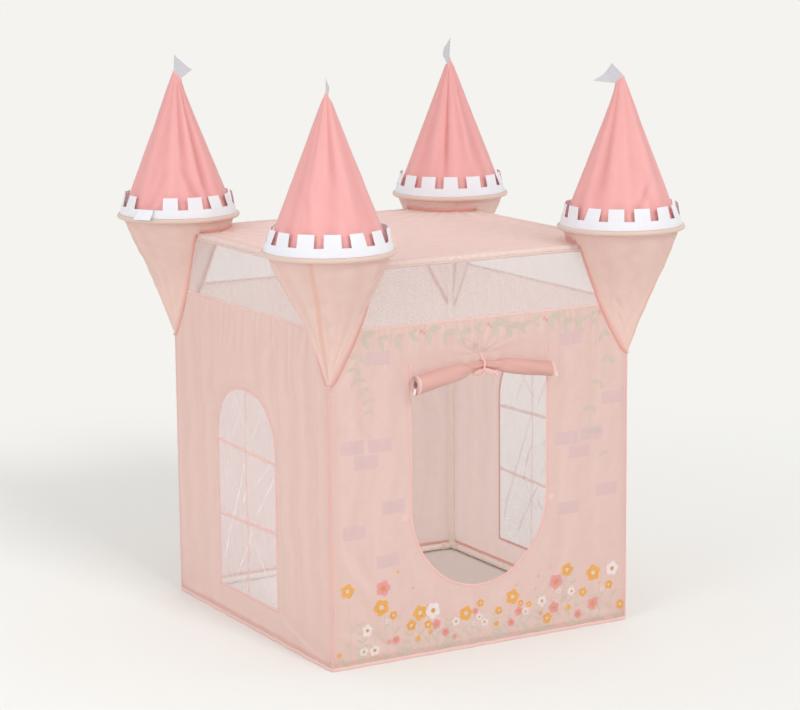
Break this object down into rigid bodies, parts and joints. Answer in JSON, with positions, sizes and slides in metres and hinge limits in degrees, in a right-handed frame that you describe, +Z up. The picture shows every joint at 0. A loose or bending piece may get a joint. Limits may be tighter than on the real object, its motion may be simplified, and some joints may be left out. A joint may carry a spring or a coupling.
{
  "type": "play tent",
  "caption": "Square cloth play tent on a tube frame, with corner turrets of two cones and a hoop, net strips and windows, and a doorway with a rolled flap.",
  "frame": {"origin": "on the floor, in the middle of the square base", "axes": "+Z up; the doorway faces -Y; +X is to the right of someone facing the doorway"},
  "size_m": [1.3446, 1.3446, 1.6926],
  "materials": {
    "frame_plastic": "smooth ivory tube",
    "hoop_plastic": "smooth beige hoop",
    "wall_cloth": "thin pale pink polyester, gathered, slightly see-through",
    "roof_cloth": "thin pink polyester, stretched",
    "cone_cloth": "thin salmon pink polyester with a satin sheen",
    "white_cloth": "stiff white cloth",
    "net": "fine see-through net",
    "lining_cloth": "pink polyester, rolled",
    "ribbon": "satin ribbon",
    "fastener": "white hook-and-loop tape"
  },
  "bodies": {
    "tent": {"base_connector_front_left": "frame_plastic", "top_connector_front_left": "frame_plastic", "upright_front_left": "frame_plastic", "turret_pole_front_left": "frame_plastic", "turret_hoop_front_left": "hoop_plastic", "turret_skirt_front_left": "wall_cloth", "turret_cone_front_left": "cone_cloth", "turret_battlement_front_left": "white_cloth", "base_connector_front_right": "frame_plastic", "top_connector_front_right": "frame_plastic", "upright_front_right": "frame_plastic", "turret_pole_front_right": "frame_plastic", "turret_hoop_front_right": "hoop_plastic", "turret_skirt_front_right": "wall_cloth", "turret_cone_front_right": "cone_cloth", "turret_battlement_front_right": "white_cloth", "base_connector_back_right": "frame_plastic", "top_connector_back_right": "frame_plastic", "upright_back_right": "frame_plastic", "turret_pole_back_right": "frame_plastic", "turret_hoop_back_right": "hoop_plastic", "turret_skirt_back_right": "wall_cloth", "turret_cone_back_right": "cone_cloth", "turret_battlement_back_right": "white_cloth", "base_connector_back_left": "frame_plastic", "top_connector_back_left": "frame_plastic", "upright_back_left": "frame_plastic", "turret_pole_back_left": "frame_plastic", "turret_hoop_back_left": "hoop_plastic", "turret_skirt_back_left": "wall_cloth", "turret_cone_back_left": "cone_cloth", "turret_battlement_back_left": "white_cloth", "base_bar_front": "frame_plastic", "roof_bar_front": "frame_plastic", "wall_front": "wall_cloth", "net_strip_front": "net", "base_bar_back": "frame_plastic", "roof_bar_back": "frame_plastic", "wall_back": "wall_cloth", "net_strip_back": "net", "base_bar_left": "frame_plastic", "roof_bar_left": "frame_plastic", "wall_left": "wall_cloth", "net_strip_left": "net", "base_bar_right": "frame_plastic", "roof_bar_right": "frame_plastic", "wall_right": "wall_cloth", "net_strip_right": "net", "window_left": "net", "window_right": "net", "roof": "roof_cloth", "door_patch_left": "fastener", "door_patch_right": "fastener"},
    "door_flap": {"door_roll": "lining_cloth", "door_tie": "ribbon"},
    "pennant_front_left": {"flag_front_left": "white_cloth"},
    "pennant_front_right": {"flag_front_right": "white_cloth"},
    "pennant_back_right": {"flag_back_right": "white_cloth"},
    "pennant_back_left": {"flag_back_left": "white_cloth"}
  },
  "joints": [
    {"name": "door_flap_lift", "type": "hinge", "parent": "tent", "child": "door_flap", "pos_m": [-0.011, -0.5003, 0.864], "axis": [-1, 0, 0], "range_deg": [0, 90]},
    {"name": "flag_bend_front_left", "type": "hinge", "parent": "tent", "child": "pennant_front_left", "pos_m": [-0.4797, -0.4797, 1.61919], "axis": [0.5086, 0.5086, -0.6947], "range_deg": [-60, 60], "stiffness_Nm_per_rad": 0.01},
    {"name": "flag_bend_front_right", "type": "hinge", "parent": "tent", "child": "pennant_front_right", "pos_m": [0.4797, -0.4797, 1.61919], "axis": [-0.5086, 0.5086, -0.6947], "range_deg": [-60, 60], "stiffness_Nm_per_rad": 0.01},
    {"name": "flag_bend_back_right", "type": "hinge", "parent": "tent", "child": "pennant_back_right", "pos_m": [0.4797, 0.4797, 1.61919], "axis": [-0.5086, -0.5086, -0.6947], "range_deg": [-32, 88], "stiffness_Nm_per_rad": 0.01},
    {"name": "flag_bend_back_left", "type": "hinge", "parent": "tent", "child": "pennant_back_left", "pos_m": [-0.4797, 0.4797, 1.61919], "axis": [0.5086, -0.5086, -0.6947], "range_deg": [-5, 115], "stiffness_Nm_per_rad": 0.01}
  ]
}
